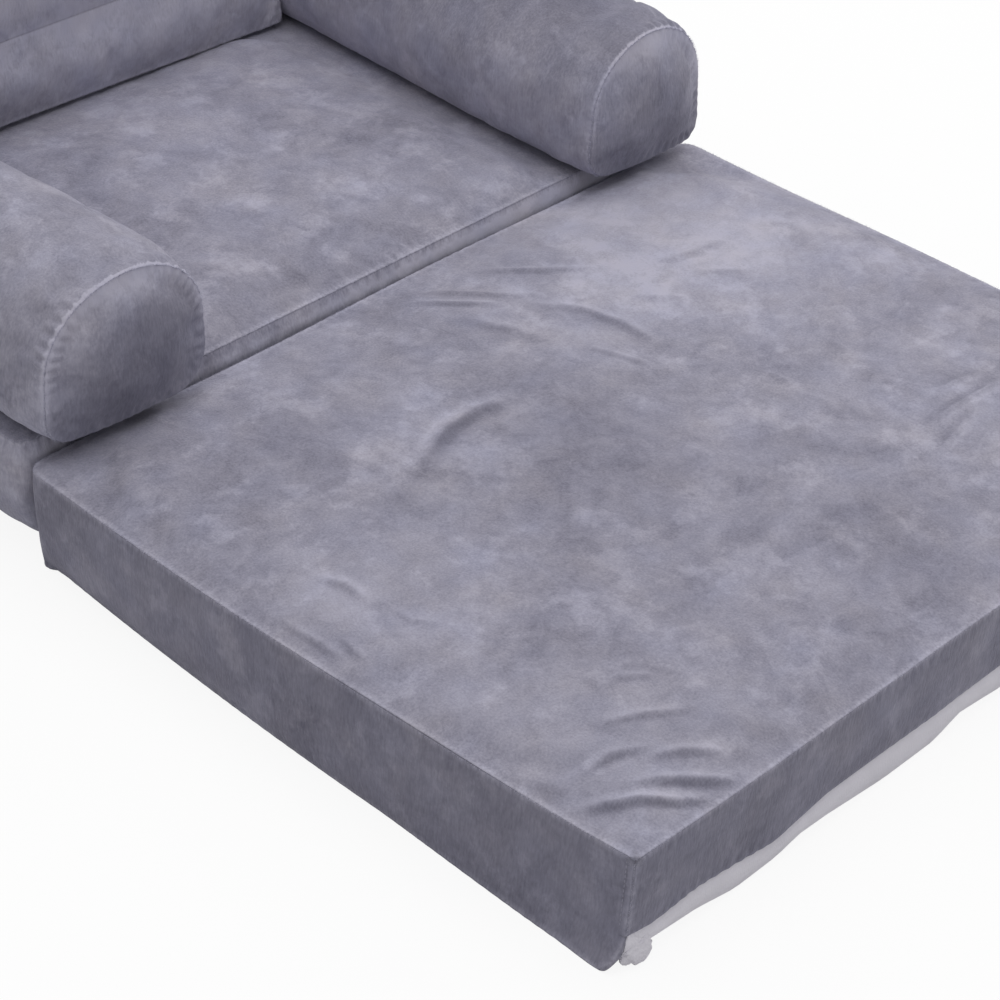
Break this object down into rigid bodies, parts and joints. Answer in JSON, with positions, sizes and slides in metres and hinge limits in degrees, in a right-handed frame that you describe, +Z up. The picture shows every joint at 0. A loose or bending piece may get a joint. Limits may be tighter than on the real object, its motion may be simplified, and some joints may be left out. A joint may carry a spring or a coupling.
{
  "type": "foldable sofa bed",
  "caption": "Child-size plush foam sofa with bolster arms and a back cushion, whose pad folds out from under the seat to make a lounger.",
  "frame": {"origin": "on the floor, in the middle of the crease between the seat block and the fold-out pad", "axes": "+Z up, +Y towards the back cushion, -Y towards the foot of the pad, +X to the sitter's left arm (right in a front view)"},
  "size_m": [0.6093, 0.9374, 0.3664],
  "materials": {
    "plush": "short grey-lavender crystal velvet plush",
    "lining": "white spunbond non-woven lining",
    "foam": "open-cell polyurethane foam",
    "zip_tape": "woven polyester zip tape",
    "zip_teeth": "moulded acetal teeth",
    "zip_slider": "die-cast zinc, dyed to match"
  },
  "bodies": {
    "sofa": {"back_foam_core": "foam", "back_front_panel": "plush", "back_lower_front_panel": "plush", "back_rear_panel": "plush", "back_side_band": "plush", "back_zip_tapes": "zip_tape", "back_zip_teeth": "zip_teeth", "hinge_seat_leaf": "plush", "left_arm_cover": "plush", "left_arm_foam_core": "foam", "left_arm_front_panel": "plush", "left_arm_rear_panel": "plush", "right_arm_cover": "plush", "right_arm_foam_core": "foam", "right_arm_front_panel": "plush", "right_arm_rear_panel": "plush", "seat_bottom_lining": "lining", "seat_foam_core": "foam", "seat_side_band": "plush", "seat_top_panel": "plush", "seat_zip_tapes": "zip_tape", "seat_zip_teeth": "zip_teeth"},
    "pad": {"hinge_pad_leaf": "plush", "pad_bottom_lining": "lining", "pad_foam_core": "foam", "pad_side_band": "plush", "pad_top_panel": "plush", "pad_zip_tapes": "zip_tape", "pad_zip_teeth": "zip_teeth"},
    "seat_zip_slider": {"seat_zip_slider": "zip_slider"},
    "seat_zip_pull": {"seat_zip_pull": "zip_slider"},
    "back_zip_slider": {"back_zip_slider": "zip_slider"},
    "back_zip_pull": {"back_zip_pull": "zip_slider"},
    "pad_zip_slider": {"pad_zip_slider": "zip_slider"},
    "pad_zip_pull": {"pad_zip_pull": "zip_slider"}
  },
  "joints": [
    {"name": "pad_fold", "type": "hinge", "parent": "sofa", "child": "pad", "pos_m": [0, 0, -0.00015], "axis": [1, 0, 0], "range_deg": [0, 180]},
    {"name": "seat_zip_run", "type": "slide", "parent": "sofa", "child": "seat_zip_slider", "axis": [-1, 0, 0], "range_m": [0, 0.3445]},
    {"name": "seat_zip_pull_swing", "type": "hinge", "parent": "seat_zip_slider", "child": "seat_zip_pull", "pos_m": [0.17225, 0.46965, 0.028], "axis": [1, 0, 0], "range_deg": [0, 175]},
    {"name": "back_zip_run", "type": "slide", "parent": "sofa", "child": "back_zip_slider", "axis": [-1, 0, 0], "range_m": [0, 0.2045]},
    {"name": "back_zip_pull_swing", "type": "hinge", "parent": "back_zip_slider", "child": "back_zip_pull", "pos_m": [0.10225, 0.46965, 0.1124], "axis": [1, 0, 0], "range_deg": [0, 175]},
    {"name": "pad_zip_run", "type": "slide", "parent": "pad", "child": "pad_zip_slider", "axis": [0, 1, 0], "range_m": [0, 0.2845]},
    {"name": "pad_zip_pull_swing", "type": "hinge", "parent": "pad_zip_slider", "child": "pad_zip_pull", "pos_m": [0.3036, -0.3743, 0.028], "axis": [0, -1, 0], "range_deg": [0, 175]}
  ]
}
